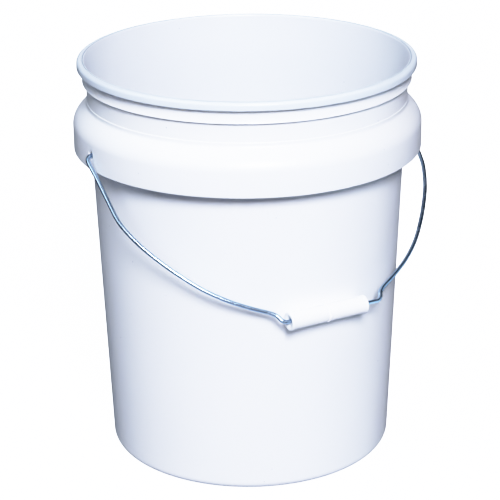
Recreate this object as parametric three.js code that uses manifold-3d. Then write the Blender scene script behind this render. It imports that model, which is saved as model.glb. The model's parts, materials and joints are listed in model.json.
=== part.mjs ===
// Open plastic fermenting pail of about 20 litres, with a wire bail and a roll grip.
// Millimetres, +Z up. The origin is the centre of the foot ring, on the ground.
// The bail turns on the X axis line through two ear holes in the skirt, and it
// rests against the wall on the -Y side.

import * as THREE from 'three';
import { mergeVertices } from 'three/addons/utils/BufferGeometryUtils.js';
import Module from 'manifold-3d';

const wasm = await Module();
wasm.setup();

// ---- Driving dimensions ---------------------------------------------------

const HEIGHT = 363.5; // foot ring to the top of the rim bead
const WALL = 2.3;
const BASE_RADIUS = 128.2; // outside of the tapered wall, carried down to the ground
const WALL_TAPER = 0.04; // growth of the radius per unit of height
const ROUND_SEGMENTS = 56;

const FOOT_FILLET = 8; // outside round between wall and foot ring
const FOOT_RING_WIDTH = 5.5;
const FOOT_RING_HEIGHT = 2.5;
const FLOOR_TOP = 5.3;
const FLOOR_FILLET = 8; // inside round between floor and wall

const SKIRT_RADIUS = 154.9;
const SKIRT_BOTTOM = 283.3;
const SKIRT_TOP = 305; // where the upright skirt turns into the shoulder
const SHOULDER_TOP = 321.8; // where the shoulder curves up into the neck
const SHOULDER_RADIUS = 144.6;

const NECK_RADIUS = 142;
const NECK_FOOT = 327.5;
const COLLAR_BOTTOM = 344.2;
const COLLAR_RADIUS = 145.6; // the collar's sharp lower edge, which overhangs the neck
const COLLAR_WAIST = 144.6; // where the collar meets the underside of the bead
const RIM_RADIUS = 149.9;
const BEAD_HEIGHT = 7.2;
const BEAD_ROUND = 3;
const MOUTH_RADIUS = 142.9;

const RIB_COUNT = 24;
const RIB_THICKNESS = 1.8;

const EAR_HEIGHT = 296.5; // pivot line of the bail
const EAR_HOLE_RADIUS = 3.6;
const EAR_PAD_RADIUS = 9;
const EAR_PAD_DEPTH = 3.5;

const WIRE_RADIUS = 1.9;
const WIRE_SIDES = 8;
const WIRE_STEPS = 170;
const PIN_INNER = 149.6; // where the pin turns into its retaining hook
const HOOK_BEND = 3;
const HOOK_DROP = 7.5;
const ELBOW_BEND = 6;
const ELBOW_START = 153.3;
const HANG_ANGLE = THREE.MathUtils.degToRad(48.7); // from straight down to the rest on the wall

const GRIP_DROP = 191.7; // pivot line to grip axis
const GRIP_LENGTH = 76.5;
const GRIP_OFFSET = -6; // the grip has slid towards -X
const GRIP_RADIUS = 7.6;
const GRIP_BORE = 2.7;
const GRIP_LIP = 0.5; // end lips and middle ring stand this proud
const GRIP_SEGMENTS = 20;

// ---- Helpers ----------------------------------------------------------------

const point = (x, y) => new THREE.Vector2(x, y);

function arc(centreX, centreY, radius, startDegrees, endDegrees, steps) {
  const points = [];
  for (let i = 0; i <= steps; i += 1) {
    const angle = THREE.MathUtils.degToRad(startDegrees + ((endDegrees - startDegrees) * i) / steps);
    points.push(point(centreX + radius * Math.cos(angle), centreY + radius * Math.sin(angle)));
  }
  return points;
}

function outerWall(height) {
  return BASE_RADIUS + WALL_TAPER * height;
}

function innerWall(height) {
  return outerWall(height) - WALL;
}

// A lathe turned so that its axis is +Z.
function turned(profile, segments) {
  const geometry = new THREE.LatheGeometry(profile, segments);
  geometry.rotateX(Math.PI / 2);
  return geometry;
}

function toSolid(geometry) {
  const bare = geometry.index ? geometry.toNonIndexed() : geometry.clone();
  bare.deleteAttribute('normal');
  bare.deleteAttribute('uv');
  const merged = mergeVertices(bare, 1e-4);
  return new wasm.Manifold(new wasm.Mesh({
    numProp: 3,
    vertProperties: new Float32Array(merged.attributes.position.array),
    triVerts: new Uint32Array(merged.index.array),
  }));
}

function toGeometry(solid) {
  const mesh = solid.getMesh();
  const geometry = new THREE.BufferGeometry();
  geometry.setAttribute('position', new THREE.BufferAttribute(mesh.vertProperties, 3));
  geometry.setIndex(new THREE.BufferAttribute(mesh.triVerts, 1));
  geometry.computeVertexNormals();
  return geometry;
}

function named(name, geometry, material) {
  const mesh = new THREE.Mesh(geometry, material);
  mesh.name = name;
  return mesh;
}

// ---- Pail body: one moulding --------------------------------------------------

function footAndWallProfile() {
  const footOuter = outerWall(FOOT_FILLET) - FOOT_FILLET;
  const footInner = footOuter - FOOT_RING_WIDTH;
  return [
    point(0, FOOT_RING_HEIGHT),
    point(footInner - FOOT_RING_HEIGHT, FOOT_RING_HEIGHT),
    point(footInner, 0),
    ...arc(footOuter, FOOT_FILLET, FOOT_FILLET, -90, 0, 4),
  ];
}

// The skirt hangs from the shoulder, open downwards, clear of the wall.
function skirtProfile() {
  const skirtInner = SKIRT_RADIUS - WALL;
  const roofRoot = SHOULDER_TOP - 6;
  const roof = new THREE.CubicBezierCurve(
    point(outerWall(roofRoot), roofRoot),
    point(SHOULDER_RADIUS + 3, roofRoot + 1),
    point(skirtInner, SKIRT_TOP + 7),
    point(skirtInner, SKIRT_TOP - 1.5),
  );
  const shoulder = new THREE.CubicBezierCurve(
    point(SKIRT_RADIUS, SKIRT_TOP),
    point(SKIRT_RADIUS, SKIRT_TOP + 7.5),
    point(SHOULDER_RADIUS + 5.2, SHOULDER_TOP - 5),
    point(SHOULDER_RADIUS, SHOULDER_TOP),
  );
  return [
    ...roof.getPoints(4),
    point(skirtInner, SKIRT_BOTTOM),
    point(SKIRT_RADIUS - 0.6, SKIRT_BOTTOM),
    point(SKIRT_RADIUS, SKIRT_BOTTOM + 0.6),
    ...shoulder.getPoints(5),
  ];
}

// Neck, collar that flares downwards, and the bead that a lid snaps over.
function rimProfile() {
  const beadBottom = HEIGHT - BEAD_HEIGHT;
  const beadTop = HEIGHT - BEAD_ROUND;
  const mouthRound = 2.2;
  return [
    point(NECK_RADIUS + 0.9, NECK_FOOT - 3.5),
    point(NECK_RADIUS, NECK_FOOT),
    point(NECK_RADIUS, COLLAR_BOTTOM),
    point(COLLAR_RADIUS, COLLAR_BOTTOM + 0.4),
    point(COLLAR_WAIST + 0.1, (COLLAR_BOTTOM + beadBottom) / 2),
    point(COLLAR_WAIST, beadBottom),
    point(RIM_RADIUS - 1, beadBottom),
    point(RIM_RADIUS, beadBottom + 1.2),
    ...arc(RIM_RADIUS - BEAD_ROUND, beadTop, BEAD_ROUND, 0, 90, 3),
    ...arc(MOUTH_RADIUS + mouthRound, HEIGHT - mouthRound, mouthRound, 90, 180, 2),
    point(innerWall(COLLAR_BOTTOM) + 0.6, COLLAR_BOTTOM),
    point(innerWall(SKIRT_TOP), SKIRT_TOP),
  ];
}

function insideProfile() {
  const filletTop = FLOOR_TOP + FLOOR_FILLET;
  return [
    ...arc(innerWall(filletTop) - FLOOR_FILLET, filletTop, FLOOR_FILLET, 0, -90, 4),
    point(0, FLOOR_TOP),
  ];
}

// A thin upright rib that ties the skirt to the wall.
function skirtRib(angle) {
  const low = SKIRT_BOTTOM + 5;
  const skirtMiddle = SKIRT_RADIUS - WALL / 2;
  const outline = new THREE.Shape([
    point(outerWall(low) - 1, low),
    point(skirtMiddle, low + 2),
    point(skirtMiddle, SKIRT_TOP),
    point(SKIRT_RADIUS - 4.1, SKIRT_TOP + 7.5),
    point(SHOULDER_RADIUS + 2, SHOULDER_TOP - 4.5),
    point(outerWall(SHOULDER_TOP) - 1, SHOULDER_TOP - 4),
  ]);
  const rib = new THREE.ExtrudeGeometry(outline, { depth: RIB_THICKNESS, bevelEnabled: false });
  rib.rotateX(Math.PI / 2);
  rib.translate(0, RIB_THICKNESS / 2, 0);
  rib.rotateZ(angle);
  return rib;
}

// A round bar along X, centred on the pivot line.
function earBar(radius, length, centreX) {
  const bar = new THREE.CylinderGeometry(radius, radius, length, 24);
  bar.rotateZ(Math.PI / 2);
  bar.translate(centreX, 0, EAR_HEIGHT);
  return bar;
}

function pailGeometry() {
  const profile = [
    ...footAndWallProfile(),
    ...skirtProfile(),
    ...rimProfile(),
    ...insideProfile(),
  ];
  let pail = toSolid(turned(profile, ROUND_SEGMENTS));
  for (let i = 0; i < RIB_COUNT; i += 1) {
    const angle = ((i + 0.5) * 2 * Math.PI) / RIB_COUNT;
    pail = pail.add(toSolid(skirtRib(angle)));
  }
  for (const side of [-1, 1]) {
    const padCentre = SKIRT_RADIUS - WALL / 2 - EAR_PAD_DEPTH / 2;
    pail = pail.add(toSolid(earBar(EAR_PAD_RADIUS, EAR_PAD_DEPTH, side * padCentre)));
    pail = pail.subtract(toSolid(earBar(EAR_HOLE_RADIUS, 14, side * SKIRT_RADIUS)));
  }
  return toGeometry(pail);
}

// ---- Bail wire ----------------------------------------------------------------

// Half of the wire's centre line, as (distance from the middle, drop below the pivot),
// from the hook inside the skirt, out through the ear hole and down to the grip.
function wireHalf() {
  return [
    point(PIN_INNER - HOOK_BEND, HOOK_DROP),
    ...arc(PIN_INNER, HOOK_BEND, HOOK_BEND, 180, 270, 2),
    ...arc(ELBOW_START, ELBOW_BEND, ELBOW_BEND, -90, 0, 3),
    point(158, 22),
    point(156.8, 44),
    point(155.1, 67),
    point(152, 78),
    point(144.5, 95),
    point(134.1, 112),
    point(124.9, 125),
    point(108.1, 145),
    point(90.7, 160),
    point(72.3, 172),
    point(56.5, 180.8),
    point(52.2, 184.4),
    point(49.8, 189.2),
    point(46, GRIP_DROP),
    point(41, GRIP_DROP),
  ];
}

function wireGeometry() {
  const half = wireHalf();
  const left = half.map((p) => new THREE.Vector3(-p.x, 0, -p.y));
  const right = half.map((p) => new THREE.Vector3(p.x, 0, -p.y)).reverse();
  const centreLine = new THREE.CatmullRomCurve3([...left, ...right]);
  const section = new THREE.Shape();
  for (let i = 0; i < WIRE_SIDES; i += 1) {
    const angle = ((i + 0.5) * 2 * Math.PI) / WIRE_SIDES;
    const x = WIRE_RADIUS * Math.cos(angle);
    const y = WIRE_RADIUS * Math.sin(angle);
    if (i === 0) section.moveTo(x, y);
    else section.lineTo(x, y);
  }
  section.closePath();
  return new THREE.ExtrudeGeometry(section, {
    steps: WIRE_STEPS,
    bevelEnabled: false,
    extrudePath: centreLine,
  });
}

// ---- Grip: a loose sleeve on the wire ---------------------------------------------

function gripGeometry() {
  const end = GRIP_LENGTH / 2;
  const lip = GRIP_RADIUS + GRIP_LIP;
  const lipWidth = 2.4;
  const ring = 0.8;
  const profile = [
    point(GRIP_BORE, -end),
    point(lip - 0.8, -end),
    point(lip, -end + 0.8),
    point(lip, -end + lipWidth),
    point(GRIP_RADIUS, -end + lipWidth + GRIP_LIP),
    point(GRIP_RADIUS, -ring - GRIP_LIP),
    point(lip, -ring),
    point(lip, ring),
    point(GRIP_RADIUS, ring + GRIP_LIP),
    point(GRIP_RADIUS, end - lipWidth - GRIP_LIP),
    point(lip, end - lipWidth),
    point(lip, end - 0.8),
    point(lip - 0.8, end),
    point(GRIP_BORE, end),
    point(GRIP_BORE, -end),
  ];
  const grip = new THREE.LatheGeometry(profile, GRIP_SEGMENTS);
  grip.rotateZ(-Math.PI / 2);
  return grip;
}

// ---- Assembly ---------------------------------------------------------------------

const pailPlastic = new THREE.MeshStandardMaterial({ color: 0xf0f2f6, roughness: 0.42, metalness: 0 });
const wireSteel = new THREE.MeshStandardMaterial({ color: 0xa7aeb7, roughness: 0.34, metalness: 0.95 });
const gripPlastic = new THREE.MeshStandardMaterial({ color: 0xfafafa, roughness: 0.36, metalness: 0 });

const bail = new THREE.Group();
bail.position.z = EAR_HEIGHT;
bail.rotation.x = -HANG_ANGLE;
bail.add(named('bail_wire', wireGeometry(), wireSteel));

const grip = named('bail_grip', gripGeometry(), gripPlastic);
grip.position.set(GRIP_OFFSET, 0, -GRIP_DROP);
bail.add(grip);

const bucket = new THREE.Group();
bucket.name = 'fermenting_bucket';
bucket.add(named('pail_body', pailGeometry(), pailPlastic));
bucket.add(bail);

export default bucket;
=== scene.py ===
"""Looks for an open white fermenting pail with a zinc wire bail and a roll grip.

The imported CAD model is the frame. Three finer pieces stand for its three nodes:
the pail moulding, the bail wire and the roll grip. Lengths in the profile and
route sections are in millimetres, and MM turns them into metres.
"""
import json
import math

import bmesh
import bpy
from mathutils import Matrix, Vector


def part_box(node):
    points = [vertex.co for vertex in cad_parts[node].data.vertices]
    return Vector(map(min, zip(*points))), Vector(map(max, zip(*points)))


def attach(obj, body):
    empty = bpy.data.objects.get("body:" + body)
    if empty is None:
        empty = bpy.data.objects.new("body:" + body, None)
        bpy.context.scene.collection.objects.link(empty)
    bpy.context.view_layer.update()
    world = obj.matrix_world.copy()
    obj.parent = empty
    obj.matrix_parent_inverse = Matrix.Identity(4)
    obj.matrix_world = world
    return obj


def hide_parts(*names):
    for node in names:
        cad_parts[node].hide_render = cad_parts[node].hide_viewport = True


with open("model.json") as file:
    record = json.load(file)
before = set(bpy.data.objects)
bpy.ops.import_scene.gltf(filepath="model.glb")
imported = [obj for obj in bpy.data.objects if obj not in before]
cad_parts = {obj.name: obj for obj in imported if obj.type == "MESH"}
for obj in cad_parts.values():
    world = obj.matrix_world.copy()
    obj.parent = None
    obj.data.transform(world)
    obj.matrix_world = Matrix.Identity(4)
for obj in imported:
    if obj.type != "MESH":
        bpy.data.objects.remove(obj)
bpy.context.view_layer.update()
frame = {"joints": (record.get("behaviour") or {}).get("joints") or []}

MM = 0.001

# ---- Dimensions read from the frame --------------------------------------------------

pail_low, pail_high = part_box("pail_body")
joints = {joint["name"]: joint for joint in frame["joints"]}
pivot = Vector(joints["bail_swing"]["pos_m"])
grip_centre = Vector(joints["grip_spin"]["pos_m"])

HEIGHT = pail_high.z / MM
SKIRT_RADIUS = pail_high.x / MM
EAR_HEIGHT = pivot.z / MM
GRIP_DROP = (grip_centre - Vector((grip_centre.x, pivot.y, pivot.z))).length / MM
HANG_ANGLE = math.atan2(pivot.y - grip_centre.y, pivot.z - grip_centre.z)

# ---- Pail dimensions, mm -------------------------------------------------------------

WALL = 2.3
BASE_RADIUS = 128.2
WALL_TAPER = 0.04
FOOT_FILLET = 8
FOOT_RING_WIDTH = 5.5
FOOT_RING_HEIGHT = 2.5
FLOOR_TOP = 5.3
FLOOR_FILLET = 8
SKIRT_BOTTOM = HEIGHT - 80.2
SKIRT_TOP = HEIGHT - 58.5
SHOULDER_TOP = HEIGHT - 41.7
SHOULDER_RADIUS = 144.6
NECK_RADIUS = 142
NECK_FOOT = HEIGHT - 36
NECK_STEP = 0.5
COLLAR_BOTTOM = HEIGHT - 19.3
COLLAR_RADIUS = 145.6
COLLAR_WAIST = 144.2
RIM_RADIUS = 149.9
BEAD_HEIGHT = 7.2
BEAD_ROUND = 3
MOUTH_RADIUS = 142.9
MOUTH_ROUND = 2.2
LIP_GROOVE_RADIUS = 144.6
LIP_GROOVE_DEPTH = 1.1
RIB_COUNT = 24
RIB_THICKNESS = 1.8
EAR_HOLE_RADIUS = 3.6
EAR_PAD_RADIUS = 9
EAR_PAD_DEPTH = 3.5
PAIL_SEGMENTS = 288

# ---- Bail and grip dimensions, mm ----------------------------------------------------

WIRE_RADIUS = 1.9
WIRE_SIDES = 20
WIRE_STEP = 1.1
PIN_INNER = 149.6
HOOK_BEND = 3
HOOK_DROP = 7.5
ELBOW_BEND = 6
ELBOW_START = 153.3
GRIP_LENGTH = 76.5
GRIP_RADIUS = 7.6
GRIP_BORE = 2.7
GRIP_LIP = 0.5
GRIP_RING_HALF = 0.8
GRIP_RING_PROUD = 0.65
GRIP_GROOVE = 0.4
GRIP_RIDGE = 0.14
GRIP_SEGMENTS = 96

# ---- Camera and set, metres and degrees ----------------------------------------------

CAMERA_AZIMUTH = -29.7
CAMERA_DISTANCE = 1.641
CAMERA_HEIGHT = 0.8107
CAMERA_LENS = 138.36
CAMERA_ROLL = -0.61
AIM_HEIGHT = 0.1787
AIM_ACROSS = 0.0011
FLOOR_SIZE = 14
FLOOR_ROUND = 3
FLOOR_GAP = 0.0002
BOUNCE = 1.2
BOUNCE_ABOVE = 0.03
BOUNCE_STEEP = -0.85  # Z of a downward direction that gets the whole bounce
BOUNCE_SHALLOW = -0.5  # and of one that gets none
TONE_KNEE = 0.6
TONE_WHITE = 3


# ---- Outline helpers -----------------------------------------------------------------

def arc(centre_x, centre_y, radius, start, end, steps):
    """Points on an arc, angles in degrees."""
    points = []
    for i in range(steps + 1):
        angle = math.radians(start + (end - start) * i / steps)
        points.append((centre_x + radius * math.cos(angle), centre_y + radius * math.sin(angle)))
    return points


def bezier(a, b, c, d, steps):
    """Points on a cubic Bezier curve."""
    points = []
    for i in range(steps + 1):
        t = i / steps
        s = 1 - t
        weights = (s ** 3, 3 * s * s * t, 3 * s * t * t, t ** 3)
        points.append(tuple(sum(w * p[k] for w, p in zip(weights, (a, b, c, d))) for k in (0, 1)))
    return points


def rounded(outline, step_angle=14):
    """Points (x, y, radius) joined by straight lines, with each corner rounded by its radius."""
    points = []
    last = len(outline) - 1
    for i, corner in enumerate(outline):
        here = Vector(corner[:2])
        radius = corner[2] if len(corner) > 2 else 0
        if i in (0, last) or radius == 0:
            points.append(tuple(here))
            continue
        back = Vector(outline[i - 1][:2]) - here
        ahead = Vector(outline[i + 1][:2]) - here
        opening = back.angle(ahead)
        turn = math.pi - opening
        if turn < math.radians(2):
            points.append(tuple(here))
            continue
        trim = radius / math.tan(opening / 2)
        room = 0.48 * min(back.length, ahead.length)
        trim = min(trim, room)
        radius = trim * math.tan(opening / 2)
        start = here + back.normalized() * trim
        middle = here + (back.normalized() + ahead.normalized()).normalized() * (
            radius / math.sin(opening / 2))
        from_centre = start - middle
        side = 1 if (-back).cross(ahead) > 0 else -1
        steps = max(2, math.ceil(math.degrees(turn) / step_angle))
        for k in range(steps + 1):
            angle = side * turn * k / steps
            spun = Matrix.Rotation(angle, 2) @ from_centre
            points.append(tuple(middle + spun))
    return points


def outer_wall(height):
    return BASE_RADIUS + WALL_TAPER * height


def inner_wall(height):
    return outer_wall(height) - WALL


# ---- Mesh helpers --------------------------------------------------------------------

def new_object(name, mesh):
    thing = bpy.data.objects.new(name, mesh)
    bpy.context.scene.collection.objects.link(thing)
    return thing


def lathe(name, profile, segments):
    """A solid of revolution about Z. The profile, in mm, starts and ends on the axis."""
    verts = []
    rings = []
    for radius, height in profile:
        if radius < 1e-6:
            rings.append([len(verts)])
            verts.append((0, 0, height * MM))
            continue
        rings.append(list(range(len(verts), len(verts) + segments)))
        for i in range(segments):
            angle = 2 * math.pi * i / segments
            across = radius * MM
            verts.append((across * math.cos(angle), across * math.sin(angle), height * MM))
    faces = []
    for low, high in zip(rings, rings[1:]):
        for i in range(segments):
            j = (i + 1) % segments
            if len(low) == 1:
                faces.append((low[0], high[j], high[i]))
            elif len(high) == 1:
                faces.append((low[i], low[j], high[0]))
            else:
                faces.append((low[i], low[j], high[j], high[i]))
    mesh = bpy.data.meshes.new(name)
    mesh.from_pydata(verts, [], faces)
    mesh.validate()
    return new_object(name, mesh)


def combine(target, tool, operation):
    """Joins tool to target, or cuts it away, and removes tool."""
    step = target.modifiers.new("combine", "BOOLEAN")
    step.operation = operation
    step.object = tool
    step.solver = "MANIFOLD"
    bpy.context.view_layer.update()
    evaluated = target.evaluated_get(bpy.context.evaluated_depsgraph_get())
    mesh = bpy.data.meshes.new_from_object(evaluated)
    target.modifiers.clear()
    old = target.data
    target.data = mesh
    bpy.data.meshes.remove(old)
    tool_mesh = tool.data
    bpy.data.objects.remove(tool)
    bpy.data.meshes.remove(tool_mesh)


def prism(bm, outline, thickness, placing):
    """Adds a closed plate: outline in its own X and Z, centred on Y, then placed by a matrix."""
    back, front = (
        [bm.verts.new(placing @ Vector((x, y, z))) for x, z in outline]
        for y in (-thickness / 2, thickness / 2)
    )
    count = len(outline)
    bm.faces.new(back)
    bm.faces.new(list(reversed(front)))
    for i in range(count):
        j = (i + 1) % count
        bm.faces.new((back[j], back[i], front[i], front[j]))


def bar(bm, profile, placing, segments=48):
    """Adds a solid of revolution about X: profile is (along, radius) and both ends are closed."""
    rings = []
    for along, radius in profile:
        ring = []
        for i in range(segments):
            angle = 2 * math.pi * i / segments
            ring.append(bm.verts.new(placing @ Vector(
                (along, radius * math.cos(angle), radius * math.sin(angle)))))
        rings.append(ring)
    bm.faces.new(list(reversed(rings[0])))
    bm.faces.new(rings[-1])
    for low, high in zip(rings, rings[1:]):
        for i in range(segments):
            j = (i + 1) % segments
            bm.faces.new((low[i], low[j], high[j], high[i]))


def object_from(bm, name):
    bmesh.ops.recalc_face_normals(bm, faces=bm.faces)
    bm.transform(Matrix.Scale(MM, 4))
    mesh = bpy.data.meshes.new(name)
    bm.to_mesh(mesh)
    bm.free()
    return new_object(name, mesh)


def smooth(thing, sharp_degrees):
    thing.data.shade_smooth()
    thing.data.set_sharp_from_angle(angle=math.radians(sharp_degrees))


# ---- Pail moulding -------------------------------------------------------------------

def underside_profile():
    """Recessed bottom panel with its gate mark and two rings, then the foot ring."""
    foot_outer = outer_wall(FOOT_FILLET) - FOOT_FILLET
    foot_inner = foot_outer - FOOT_RING_WIDTH
    panel = FOOT_RING_HEIGHT
    outline = [(0, panel - 1), (2.2, panel - 1, 0.4), (3, panel, 0.5)]
    for radius, width in ((12, 4), (58, 3), (96, 3)):
        outline += [
            (radius, panel, 0.4),
            (radius + 0.5, panel + 0.5, 0.4),
            (radius + width, panel + 0.5, 0.4),
            (radius + width + 0.5, panel, 0.4),
        ]
    outline += [
        (foot_inner - FOOT_RING_HEIGHT, panel, 1.2),
        (foot_inner, 0, 0.8),
        (foot_outer, 0),
    ]
    return rounded(outline)[:-1] + arc(foot_outer, FOOT_FILLET, FOOT_FILLET, -90, 0, 12)


def skirt_profile():
    """The skirt hangs from the shoulder, open downwards and clear of the wall."""
    skirt_inner = SKIRT_RADIUS - WALL
    roof_root = SHOULDER_TOP - 6
    roof = bezier(
        (outer_wall(roof_root), roof_root),
        (SHOULDER_RADIUS + 3, roof_root + 1),
        (skirt_inner, SKIRT_TOP + 7),
        (skirt_inner, SKIRT_TOP - 1.5),
        14,
    )
    edge = rounded([
        roof[-1],
        (skirt_inner, SKIRT_BOTTOM, 0.5),
        (SKIRT_RADIUS, SKIRT_BOTTOM, 0.7),
        (SKIRT_RADIUS, SKIRT_TOP),
    ])
    shoulder = bezier(
        (SKIRT_RADIUS, SKIRT_TOP),
        (SKIRT_RADIUS, SKIRT_TOP + 7.5),
        (SHOULDER_RADIUS + 5.2, SHOULDER_TOP - 5),
        (SHOULDER_RADIUS, SHOULDER_TOP),
        20,
    )
    return roof[:-1] + edge[:-1] + shoulder[:-1]


def rim_profile():
    """Neck with a small step at its foot, flared collar, rim bead with a groove, and the mouth."""
    bead_bottom = HEIGHT - BEAD_HEIGHT
    foot_radius = NECK_RADIUS + NECK_STEP
    neck = rounded([
        (SHOULDER_RADIUS, SHOULDER_TOP),
        (foot_radius, SHOULDER_TOP + SHOULDER_RADIUS - foot_radius, 3.5),
        (foot_radius, NECK_FOOT - NECK_STEP, 0.3),
        (NECK_RADIUS, NECK_FOOT, 0.4),
        (NECK_RADIUS, COLLAR_BOTTOM, 0.2),
        (COLLAR_RADIUS, COLLAR_BOTTOM + 0.2, 0.15),
        (COLLAR_RADIUS - 0.25, COLLAR_BOTTOM + 0.75),
    ])
    collar = bezier(
        neck[-1],
        (COLLAR_RADIUS - 1.2, COLLAR_BOTTOM + 3),
        (COLLAR_WAIST, COLLAR_BOTTOM + 5),
        (COLLAR_WAIST, bead_bottom),
        10,
    )
    under_bead = rounded([
        collar[-1],
        (COLLAR_WAIST - 0.6, bead_bottom + 0.5, 0.2),
        (RIM_RADIUS, bead_bottom, 0.7),
        (RIM_RADIUS, HEIGHT - BEAD_ROUND),
    ])
    bead = arc(RIM_RADIUS - BEAD_ROUND, HEIGHT - BEAD_ROUND, BEAD_ROUND, 0, 90, 9)
    groove = rounded([
        bead[-1],
        (LIP_GROOVE_RADIUS + 0.5, HEIGHT, 0.3),
        (LIP_GROOVE_RADIUS, HEIGHT - LIP_GROOVE_DEPTH, 0.15),
        (LIP_GROOVE_RADIUS - 0.45, HEIGHT - 0.15, 0.3),
        (LIP_GROOVE_RADIUS - 0.9, HEIGHT - 0.3, 0.5),
    ])
    lip_low = HEIGHT - MOUTH_ROUND
    mouth = bezier(groove[-1], (MOUTH_RADIUS + 0.6, HEIGHT - 0.5), (MOUTH_RADIUS, lip_low + 1),
                   (MOUTH_RADIUS, lip_low), 6)
    return neck[:-1] + collar[:-1] + under_bead[:-1] + bead[:-1] + groove[:-1] + mouth


def inside_profile():
    """Down the inside: mouth, wall, floor fillet, and the floor with its gate mark."""
    foot = FLOOR_TOP + FLOOR_FILLET
    mouth_low = HEIGHT - MOUTH_ROUND
    bend = SHOULDER_TOP + 8
    mouth = bezier(
        (MOUTH_RADIUS, mouth_low),
        (MOUTH_RADIUS - 2, mouth_low - 14),
        (inner_wall(bend), bend),
        (inner_wall(SKIRT_TOP), SKIRT_TOP),
        18,
    )
    wall = mouth[1:] + [(inner_wall(foot), foot)]
    fillet = arc(inner_wall(foot) - FLOOR_FILLET, foot, FLOOR_FILLET, 0, -90, 10)
    middle = rounded([
        fillet[-1],
        (14.5, FLOOR_TOP, 0.4),
        (14, FLOOR_TOP - 0.3, 0.3),
        (4, FLOOR_TOP - 0.3, 0.3),
        (3.4, FLOOR_TOP, 0.4),
        (0, FLOOR_TOP),
    ])
    return wall[:-1] + fillet[:-1] + middle


def skirt_ribs():
    """Upright ribs that tie the skirt to the wall."""
    low = SKIRT_BOTTOM + 5
    skirt_middle = SKIRT_RADIUS - WALL / 2
    outline = rounded([
        (outer_wall(low) - 1, low),
        (outer_wall(low) + 3, low, 2),
        (skirt_middle, low + 2),
        (skirt_middle, SKIRT_TOP),
        (SKIRT_RADIUS - 4.1, SKIRT_TOP + 7.5),
        (SHOULDER_RADIUS + 2, SHOULDER_TOP - 4.5),
        (outer_wall(SHOULDER_TOP) - 1, SHOULDER_TOP - 4),
    ])
    bm = bmesh.new()
    for i in range(RIB_COUNT):
        turn = Matrix.Rotation((i + 0.5) * 2 * math.pi / RIB_COUNT, 4, "Z")
        prism(bm, outline, RIB_THICKNESS, turn)
    return object_from(bm, "ribs")


def ear_placing(side):
    """Puts a bar's own +X along the pivot line, outwards on that side."""
    turn = Matrix.Rotation(0 if side > 0 else math.pi, 4, "Z")
    return Matrix.Translation((0, 0, EAR_HEIGHT)) @ turn


def ear_pads():
    skirt_inner = SKIRT_RADIUS - WALL
    face = skirt_inner - EAR_PAD_DEPTH + WALL / 2
    profile = [
        (face, EAR_PAD_RADIUS - 0.6),
        (face + 0.6, EAR_PAD_RADIUS),
        (SKIRT_RADIUS - WALL / 2, EAR_PAD_RADIUS),
    ]
    bm = bmesh.new()
    for side in (-1, 1):
        bar(bm, profile, ear_placing(side))
    return object_from(bm, "ear_pads")


def ear_holes():
    """Bores through skirt and pad, with a rounded outer edge."""
    ease = 1.1
    eased = arc(SKIRT_RADIUS - ease, EAR_HOLE_RADIUS + ease, ease, -90, 0, 5)
    outside = (SKIRT_RADIUS + 1, EAR_HOLE_RADIUS + ease)
    profile = [(SKIRT_RADIUS - 9, EAR_HOLE_RADIUS), *eased, outside]
    bm = bmesh.new()
    for side in (-1, 1):
        bar(bm, profile, ear_placing(side))
    return object_from(bm, "ear_holes")


def make_pail():
    profile = underside_profile() + skirt_profile() + rim_profile() + inside_profile()
    pail = lathe("pail_moulding", profile, PAIL_SEGMENTS)
    combine(pail, skirt_ribs(), "UNION")
    combine(pail, ear_pads(), "UNION")
    combine(pail, ear_holes(), "DIFFERENCE")
    smooth(pail, 32)
    return pail


# ---- Bail wire -----------------------------------------------------------------------

def wire_half():
    """Half of the centre line, as (distance from the middle, drop below the pivot), in mm."""
    return [
        (PIN_INNER - HOOK_BEND, HOOK_DROP),
        *arc(PIN_INNER, HOOK_BEND, HOOK_BEND, 180, 270, 2),
        *arc(ELBOW_START, ELBOW_BEND, ELBOW_BEND, -90, 0, 3),
        (158, 22),
        (156.8, 44),
        (155.1, 67),
        (152, 78),
        (144.5, 95),
        (134.1, 112),
        (124.9, 125),
        (108.1, 145),
        (90.7, 160),
        (72.3, 172),
        (56.5, 180.8),
        (52.2, 184.4),
        (49.8, 189.2),
        (46, GRIP_DROP),
        (41, GRIP_DROP),
    ]


def through(points, step):
    """A centripetal Catmull-Rom line through the points, sampled about every step."""
    before = points[0] * 2 - points[1]
    after = points[-1] * 2 - points[-2]
    padded = [before, *points, after]
    line = []
    for p0, p1, p2, p3 in zip(padded, padded[1:], padded[2:], padded[3:]):
        t0 = 0
        t1 = t0 + math.sqrt((p1 - p0).length)
        t2 = t1 + math.sqrt((p2 - p1).length)
        t3 = t2 + math.sqrt((p3 - p2).length)
        count = max(1, round((p2 - p1).length / step))
        for k in range(count):
            t = t1 + (t2 - t1) * k / count
            a1 = p0 * ((t1 - t) / (t1 - t0)) + p1 * ((t - t0) / (t1 - t0))
            a2 = p1 * ((t2 - t) / (t2 - t1)) + p2 * ((t - t1) / (t2 - t1))
            a3 = p2 * ((t3 - t) / (t3 - t2)) + p3 * ((t - t2) / (t3 - t2))
            b1 = a1 * ((t2 - t) / (t2 - t0)) + a2 * ((t - t0) / (t2 - t0))
            b2 = a2 * ((t3 - t) / (t3 - t1)) + a3 * ((t - t1) / (t3 - t1))
            line.append(b1 * ((t2 - t) / (t2 - t1)) + b2 * ((t - t1) / (t2 - t1)))
    line.append(points[-1])
    return line


def bail_line():
    """The whole centre line in the frame, in mm, hanging against the wall."""
    half = wire_half()
    flat = [(-x, drop) for x, drop in half] + [(x, drop) for x, drop in reversed(half)]
    points = [
        Vector((x, -drop * math.sin(HANG_ANGLE), EAR_HEIGHT - drop * math.cos(HANG_ANGLE)))
        for x, drop in flat
    ]
    return through(points, WIRE_STEP)


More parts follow.
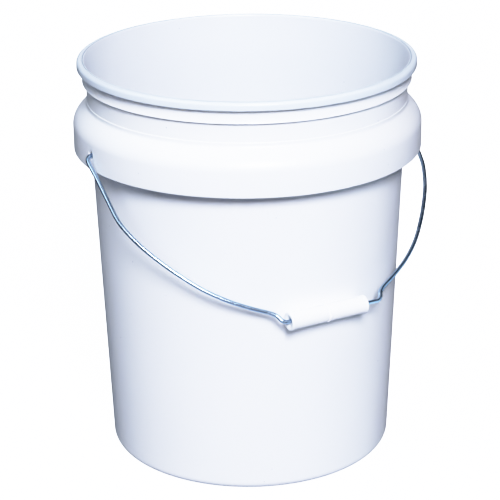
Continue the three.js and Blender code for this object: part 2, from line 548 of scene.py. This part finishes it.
def make_wire():
    """A round rod swept along the bail line, with sheared ends, and a UV map along its length."""
    line = bail_line()
    plane_normal = Vector((0, math.cos(HANG_ANGLE), -math.sin(HANG_ANGLE)))
    sections = []
    ease = 0.35
    last = len(line) - 1
    for i, centre in enumerate(line):
        along = (line[min(i + 1, last)] - line[max(i - 1, 0)]).normalized()
        across = along.cross(plane_normal).normalized()
        if i == 0:
            sections.append((centre - along * ease, WIRE_RADIUS - ease, across))
        sections.append((centre, WIRE_RADIUS, across))
        if i == last:
            sections.append((centre + along * ease, WIRE_RADIUS - ease, across))
    bm = bmesh.new()
    uv_layer = bm.loops.layers.uv.new("along")
    rings = []
    run = 0
    runs = []
    for k, (centre, radius, across) in enumerate(sections):
        if k:
            run += (centre - sections[k - 1][0]).length
        runs.append(run)
        ring = []
        for s in range(WIRE_SIDES):
            angle = 2 * math.pi * s / WIRE_SIDES
            offset = across * math.cos(angle) + plane_normal * math.sin(angle)
            ring.append(bm.verts.new(centre + offset * radius))
        rings.append(ring)
    for k in range(len(rings) - 1):
        for s in range(WIRE_SIDES):
            t = (s + 1) % WIRE_SIDES
            face = bm.faces.new((rings[k][s], rings[k][t], rings[k + 1][t], rings[k + 1][s]))
            corners = ((s, k), (s + 1, k), (s + 1, k + 1), (s, k + 1))
            for loop, (side, row) in zip(face.loops, corners):
                loop[uv_layer].uv = (side / WIRE_SIDES, runs[row] * MM)
    bm.faces.new(list(reversed(rings[0])))
    bm.faces.new(rings[-1])
    wire = object_from(bm, "wire_bail")
    smooth(wire, 40)
    return wire


# ---- Roll grip -----------------------------------------------------------------------

def grip_profile():
    """One closed outline of the sleeve's wall: (along, radius)."""
    end = GRIP_LENGTH / 2
    lip = GRIP_RADIUS + GRIP_LIP
    ring = GRIP_RING_HALF
    ring_top = GRIP_RADIUS + GRIP_RING_PROUD
    groove = GRIP_RADIUS - GRIP_GROOVE
    half = [
        (0, ring_top, 0),
        (ring, ring_top, 0.3),
        (ring + 0.3, groove, 0.2),
        (ring + 1.0, groove, 0.3),
        (ring + 1.6, GRIP_RADIUS, 0.5),
        (end - 6, GRIP_RADIUS, 8),
        (end - 2.6, GRIP_RADIUS + 0.1, 2),
        (end - 1.9, lip, 0.6),
        (end, lip, 0.9),
        (end, GRIP_RADIUS - 1.6, 0.6),
        (end - 1.2, GRIP_BORE + 1.2, 0.8),
        (end - 5, GRIP_BORE, 2),
        (0, GRIP_BORE, 0),
    ]
    right = rounded(half)
    left = [(-x, r) for x, r in reversed(right)]
    return right[:-1] + left[:-1]


def make_grip():
    """The sleeve, with a fine parting ridge along each side."""
    outline = grip_profile()
    bm = bmesh.new()
    rows = []
    for s in range(GRIP_SEGMENTS):
        angle = 2 * math.pi * s / GRIP_SEGMENTS
        ridge = GRIP_RIDGE if s % (GRIP_SEGMENTS // 2) == 0 else 0
        row = []
        for along, radius in outline:
            proud = radius + (ridge if radius > GRIP_RADIUS - 0.5 else 0)
            row.append(bm.verts.new((along, proud * math.cos(angle), proud * math.sin(angle))))
        rows.append(row)
    count = len(outline)
    for s in range(GRIP_SEGMENTS):
        near = rows[s]
        far = rows[(s + 1) % GRIP_SEGMENTS]
        for k in range(count):
            m = (k + 1) % count
            bm.faces.new((near[k], near[m], far[m], far[k]))
    bm.transform(Matrix.Rotation(-HANG_ANGLE, 4, "X"))
    bm.transform(Matrix.Translation(grip_centre / MM))
    grip = object_from(bm, "roll_grip")
    smooth(grip, 35)
    return grip


# ---- Material helpers ----------------------------------------------------------------

class Nodes:
    """A short way to write a node tree."""

    def __init__(self, name):
        self.material = bpy.data.materials.new(name)
        self.material.use_nodes = True
        self.tree = self.material.node_tree
        self.shader = self.tree.nodes["Principled BSDF"]

    def add(self, kind, **settings):
        node = self.tree.nodes.new(kind)
        for key, value in settings.items():
            setattr(node, key, value)
        return node

    def link(self, source, target):
        self.tree.links.new(source, target)

    def feed(self, target, value):
        if isinstance(value, bpy.types.NodeSocket):
            self.link(value, target)
        else:
            target.default_value = value

    def maths(self, operation, a, b=0.0, c=0.0, clamp=False):
        node = self.add("ShaderNodeMath", operation=operation, use_clamp=clamp)
        for target, value in zip(node.inputs, (a, b, c)):
            self.feed(target, value)
        return node.outputs[0]

    def remap(self, value, low, high, to_low=0.0, to_high=1.0):
        node = self.add("ShaderNodeMapRange", interpolation_type="SMOOTHSTEP")
        for target, setting in zip(node.inputs, (value, low, high, to_low, to_high)):
            self.feed(target, setting)
        return node.outputs[0]

    def noise(self, vector, scale, detail=3.0, roughness=0.5):
        node = self.add("ShaderNodeTexNoise")
        self.link(vector, node.inputs["Vector"])
        node.inputs["Scale"].default_value = scale
        node.inputs["Detail"].default_value = detail
        node.inputs["Roughness"].default_value = roughness
        return node.outputs["Fac"]

    def stretched(self, vector, scale):
        node = self.add("ShaderNodeMapping")
        self.link(vector, node.inputs["Vector"])
        node.inputs["Scale"].default_value = scale
        return node.outputs[0]

    def mix(self, factor, a, b):
        node = self.add("ShaderNodeMix", data_type="RGBA")
        self.feed(node.inputs[0], factor)
        for target, colour in ((node.inputs[6], a), (node.inputs[7], b)):
            self.feed(target, colour if isinstance(colour, bpy.types.NodeSocket) else (*colour, 1))
        return node.outputs[2]

    def bump(self, height, strength, distance, normal=None):
        node = self.add("ShaderNodeBump")
        node.inputs["Strength"].default_value = strength
        node.inputs["Distance"].default_value = distance
        self.link(height, node.inputs["Height"])
        if normal is not None:
            self.link(normal, node.inputs["Normal"])
        return node.outputs[0]

    def here(self):
        """Place on the object in metres."""
        return self.add("ShaderNodeTexCoord").outputs["Object"]

    def radius_and_height(self, place):
        """Distance from the upright axis, and height, in metres."""
        split = self.add("ShaderNodeSeparateXYZ")
        self.link(place, split.inputs[0])
        x, y, z = split.outputs
        squared = self.maths("MULTIPLY_ADD", x, x, self.maths("MULTIPLY", y, y))
        return self.maths("SQRT", squared), z

    def specks(self, place, spacing, size, share):
        """Sparse dots where a cell's centre happens to lie in the surface: 1 in a dot."""
        cells = self.add("ShaderNodeTexVoronoi", feature="F1")
        self.link(place, cells.inputs["Vector"])
        cells.inputs["Scale"].default_value = 1 / spacing
        dot = self.remap(cells.outputs["Distance"], size / spacing, 0.45 * size / spacing)
        chosen = self.add("ShaderNodeSeparateColor")
        self.link(cells.outputs["Color"], chosen.inputs[0])
        kept = self.maths("LESS_THAN", chosen.outputs[0], share)
        return self.maths("MULTIPLY", dot, kept)


def painted_shade_zones(n, place):
    """Masks for the painted shade on the inside, the rim bead and the groove in the lip."""
    radius, height = n.radius_and_height(place)

    def above(low, high):
        return n.remap(height, low * MM, high * MM)

    def beyond(near, far):
        return n.remap(radius, near * MM, far * MM)

    skin = 0.4  # this much of the wall's thickness counts as outside
    wall = n.maths("MULTIPLY_ADD", height, WALL_TAPER, (outer_wall(0) - skin) * MM)
    in_wall = n.remap(n.maths("SUBTRACT", wall, radius), 0, skin * MM)
    lip_edge = (MOUTH_RADIUS + 0.5, MOUTH_RADIUS + 1)
    in_mouth = n.maths("MULTIPLY", above(COLLAR_BOTTOM, COLLAR_BOTTOM + 1), beyond(*lip_edge[::-1]))
    inside = n.maths("MAXIMUM", in_wall, in_mouth)
    rim = n.maths("MULTIPLY", above(HEIGHT - 8, HEIGHT - 6), beyond(*lip_edge))
    from_groove = n.maths("ABSOLUTE", n.maths("SUBTRACT", radius, LIP_GROOVE_RADIUS * MM))
    near_groove = n.remap(from_groove, 0.5 * MM, 0.2 * MM)
    groove = n.maths("MULTIPLY", near_groove, above(HEIGHT - 2.5, HEIGHT - 2))
    return inside, rim, groove


def pail_plastic():
    """Natural white polyethylene: satin, faintly translucent, with draw lines, scuffs and specks.

    Painted shade: the inside and the rim bead are painted a shade darker and cooler, and a dark
    line is painted along the groove of the lip.
    """
    n = Nodes("pail_plastic")
    place = n.here()
    upright = n.stretched(place, (1, 1, 0.06))
    cloud = n.noise(place, 9, 2)
    draw = n.noise(upright, 110, 3, 0.6)
    peel = n.noise(place, 900, 2)
    waves = n.noise(place, 14, 1)
    scuff_field = n.noise(n.stretched(place, (1, 1, 7)), 60, 5, 0.7)
    scuffs = n.remap(scuff_field, 0.66, 0.74)
    specks = n.specks(place, 0.016, 0.0006, 0.75)
    inside, rim, groove = painted_shade_zones(n, place)

    base = n.mix(cloud, (0.865, 0.874, 0.888), (0.882, 0.89, 0.9))
    # Painted shade: the inside is painted darker and bluer than the outside wall.
    base = n.mix(inside, base, (0.7, 0.72, 0.75))
    # Painted shade: the outside of the rim bead is painted darker and bluer.
    base = n.mix(rim, base, (0.69, 0.745, 0.8))
    # Painted shade: a dark line painted along the groove of the lip.
    base = n.mix(n.maths("MULTIPLY", groove, 0.75), base, (0.2, 0.22, 0.26))
    base = n.mix(n.maths("MULTIPLY", scuffs, 0.25), base, (0.96, 0.965, 0.97))
    base = n.mix(n.maths("MULTIPLY", specks, 0.75), base, (0.28, 0.29, 0.32))
    n.link(base, n.shader.inputs["Base Color"])

    rough = n.remap(draw, 0.3, 0.7, 0.3, 0.38)
    rough = n.maths("MULTIPLY_ADD", scuffs, 0.14, rough, clamp=True)
    n.link(rough, n.shader.inputs["Roughness"])

    normal = n.bump(waves, 0.35, 0.0012)
    normal = n.bump(draw, 0.12, 0.0003, normal)
    normal = n.bump(peel, 0.10, 0.0001, normal)
    n.link(normal, n.shader.inputs["Normal"])

    n.shader.inputs["IOR"].default_value = 1.5
    n.shader.inputs["Subsurface Weight"].default_value = 0.15
    n.shader.inputs["Subsurface Radius"].default_value = (1, 0.95, 0.85)
    n.shader.inputs["Subsurface Scale"].default_value = 0.003
    return n.material


def bail_steel():
    """Drawn wire with bright blue-tinted zinc: lines along it, dull patches and small nicks."""
    n = Nodes("bail_steel")
    along = n.add("ShaderNodeUVMap", uv_map="along").outputs[0]
    place = n.here()
    lines = n.noise(n.stretched(along, (30, 25, 1)), 1, 4, 0.7)
    patches = n.noise(place, 90, 4, 0.6)
    nicks = n.remap(n.noise(place, 420, 3, 0.6), 0.68, 0.76)

    base = n.mix(patches, (0.36, 0.5, 0.66), (0.48, 0.61, 0.75))
    base = n.mix(n.maths("MULTIPLY", nicks, 0.5), base, (0.2, 0.27, 0.36))
    n.link(base, n.shader.inputs["Base Color"])
    rough = n.remap(lines, 0.25, 0.75, 0.2, 0.32)
    rough = n.maths("MULTIPLY_ADD", n.remap(patches, 0.5, 0.8), 0.12, rough, clamp=True)
    n.link(rough, n.shader.inputs["Roughness"])
    normal = n.bump(lines, 0.25, 0.00012)
    normal = n.bump(nicks, -0.3, 0.0001, normal)
    n.link(normal, n.shader.inputs["Normal"])
    n.shader.inputs["Metallic"].default_value = 1
    return n.material


def grip_plastic():
    """Whiter, glossier moulded plastic with light handling scuffs."""
    n = Nodes("grip_plastic")
    place = n.here()
    cloud = n.noise(place, 60, 2)
    rubbed = n.remap(n.noise(n.stretched(place, (1, 4, 4)), 160, 4, 0.6), 0.6, 0.72)
    base = n.mix(cloud, (0.945, 0.947, 0.95), (0.965, 0.965, 0.962))
    base = n.mix(n.maths("MULTIPLY", rubbed, 0.25), base, (0.88, 0.885, 0.89))
    n.link(base, n.shader.inputs["Base Color"])
    rough = n.maths("MULTIPLY_ADD", rubbed, 0.16, 0.27)
    n.link(rough, n.shader.inputs["Roughness"])
    normal = n.bump(n.noise(place, 350, 3), 0.12, 0.0002)
    n.link(normal, n.shader.inputs["Normal"])
    n.shader.inputs["IOR"].default_value = 1.5
    n.shader.inputs["Subsurface Weight"].default_value = 0.2
    n.shader.inputs["Subsurface Radius"].default_value = (1, 0.95, 0.9)
    n.shader.inputs["Subsurface Scale"].default_value = 0.002
    return n.material


def floor_white():
    n = Nodes("floor_white")
    n.shader.inputs["Base Color"].default_value = (0.93, 0.945, 0.97, 1)
    n.shader.inputs["Roughness"].default_value = 0.9
    n.shader.inputs["Specular IOR Level"].default_value = 0.1
    n.shader.inputs["Emission Color"].default_value = (1, 1, 1, 1)
    n.shader.inputs["Emission Strength"].default_value = 1.5
    return n.material


# ---- Set: camera, floor, lights ------------------------------------------------------

def turned_by(azimuth):
    """A horizontal unit vector from the pail towards a viewer at that azimuth."""
    angle = math.radians(azimuth)
    return Vector((math.sin(angle), -math.cos(angle), 0))


def make_camera():
    data = bpy.data.cameras.new("camera")
    data.lens = CAMERA_LENS
    data.clip_start = 0.1
    data.clip_end = 50
    camera = new_object("camera", data)
    towards = turned_by(CAMERA_AZIMUTH)
    across = Vector((-towards.y, towards.x, 0))
    camera.location = towards * CAMERA_DISTANCE + Vector((0, 0, CAMERA_HEIGHT))
    aim = across * AIM_ACROSS + Vector((0, 0, AIM_HEIGHT))
    look = (aim - camera.location).to_track_quat("-Z", "Y")
    roll = Matrix.Rotation(math.radians(CAMERA_ROLL), 4, "Z")
    camera.rotation_euler = (look.to_matrix().to_4x4() @ roll).to_euler()
    bpy.context.scene.camera = camera


def make_floor():
    """A white floor that curves up into a round backdrop."""
    outer = FLOOR_SIZE / 2
    curve = arc(outer - FLOOR_ROUND, FLOOR_ROUND, FLOOR_ROUND, -90, 0, 12)
    profile = [(0.5, 0)] + curve + [(outer, FLOOR_SIZE)]
    turns = 64
    count = len(profile)
    points = [(0, 0, -FLOOR_GAP)]
    for i in range(turns):
        towards = turned_by(i * 360 / turns)
        points += [towards * r + Vector((0, 0, z - FLOOR_GAP)) for r, z in profile]
    faces = []
    for i in range(turns):
        near = 1 + i * count
        far = 1 + (i + 1) % turns * count
        faces.append((0, near, far))
        faces += [(near + k, near + k + 1, far + k + 1, far + k) for k in range(count - 1)]
    mesh = bpy.data.meshes.new("floor")
    mesh.from_pydata(points, [], faces)
    mesh.materials.append(floor_white())
    floor = new_object("floor", mesh)
    # It only shows in the picture: its bounce would wash out the lines under the rim and skirt.
    floor.visible_diffuse = False
    floor.visible_glossy = False
    floor.visible_shadow = False


def soft_light(name, azimuth, elevation, distance, size, power, colour):
    """A square area light aimed at the middle of the pail. Azimuth is from the camera's."""
    data = bpy.data.lights.new(name, "AREA")
    data.size = size
    data.energy = power
    data.color = colour
    light = new_object(name, data)
    middle = Vector((0, 0, HEIGHT * MM / 2))
    rise = math.radians(elevation)
    towards = turned_by(CAMERA_AZIMUTH + azimuth) * math.cos(rise) + Vector((0, 0, math.sin(rise)))
    light.location = middle + towards * distance
    light.rotation_euler = (-towards).to_track_quat("-Z", "Y").to_euler()
    return light


def make_world():
    """Dark above, and a weak blue-white bounce from below, as from a pale table."""
    world = bpy.data.worlds.new("studio")
    bpy.context.scene.world = world
    world.use_nodes = True
    tree = world.node_tree
    direction = tree.nodes.new("ShaderNodeTexCoord").outputs["Generated"]
    split = tree.nodes.new("ShaderNodeSeparateXYZ")
    tree.links.new(direction, split.inputs[0])
    below = tree.nodes.new("ShaderNodeMapRange")
    tree.links.new(split.outputs[2], below.inputs["Value"])
    settings = (BOUNCE_STEEP, BOUNCE_SHALLOW, BOUNCE, BOUNCE_ABOVE)
    for socket, value in zip(below.inputs[1:5], settings):
        socket.default_value = value
    background = tree.nodes["Background"]
    background.inputs["Color"].default_value = (0.7, 0.77, 1, 1)
    tree.links.new(below.outputs[0], background.inputs["Strength"])


def make_tone():
    """A film-like shoulder: straight up to TONE_KNEE, then ever closer to white."""
    view = bpy.context.scene.view_settings
    view.view_transform = "Standard"
    view.use_curve_mapping = True
    mapping = view.curve_mapping
    mapping.white_level = (TONE_WHITE, TONE_WHITE, TONE_WHITE)
    curve = mapping.curves[3]
    room = 1 - TONE_KNEE  # left between the knee and white
    steps = 14
    for i in range(steps):
        light = TONE_KNEE + (TONE_WHITE - TONE_KNEE) * (i / steps) ** 1.4
        shown = TONE_KNEE + room * (1 - math.exp(-(light - TONE_KNEE) / room))
        curve.points.new(light / TONE_WHITE, shown)
    mapping.update()


def make_set():
    make_camera()
    make_floor()
    make_world()
    soft_light("key", 8, 36, 5.2, 1.5, 505, (0.82, 0.855, 1))
    soft_light("left", -50, 42, 5.2, 2.2, 76, (0.74, 0.85, 1))
    soft_light("sky", -80, 64, 5.2, 2.2, 40, (0.65, 0.8, 1))
    back = soft_light("back", 180, 10, 5.2, 1.6, 380, (0.86, 0.89, 1))
    back.visible_glossy = False  # no glare on the far rim
    glint = soft_light("glint", 74, -24, 3, 4.4, 85, (0.55, 0.76, 1))
    glint.visible_diffuse = False  # a highlight on the wire, no light on the wall
    make_tone()


# ---- Put it together -----------------------------------------------------------------

def dress(piece, material, body, node):
    piece.data.materials.clear()
    piece.data.materials.append(material)
    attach(piece, body)
    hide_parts(node)


make_set()
dress(make_pail(), pail_plastic(), "pail", "pail_body")
dress(make_wire(), bail_steel(), "bail", "bail_wire")
dress(make_grip(), grip_plastic(), "grip", "bail_grip")
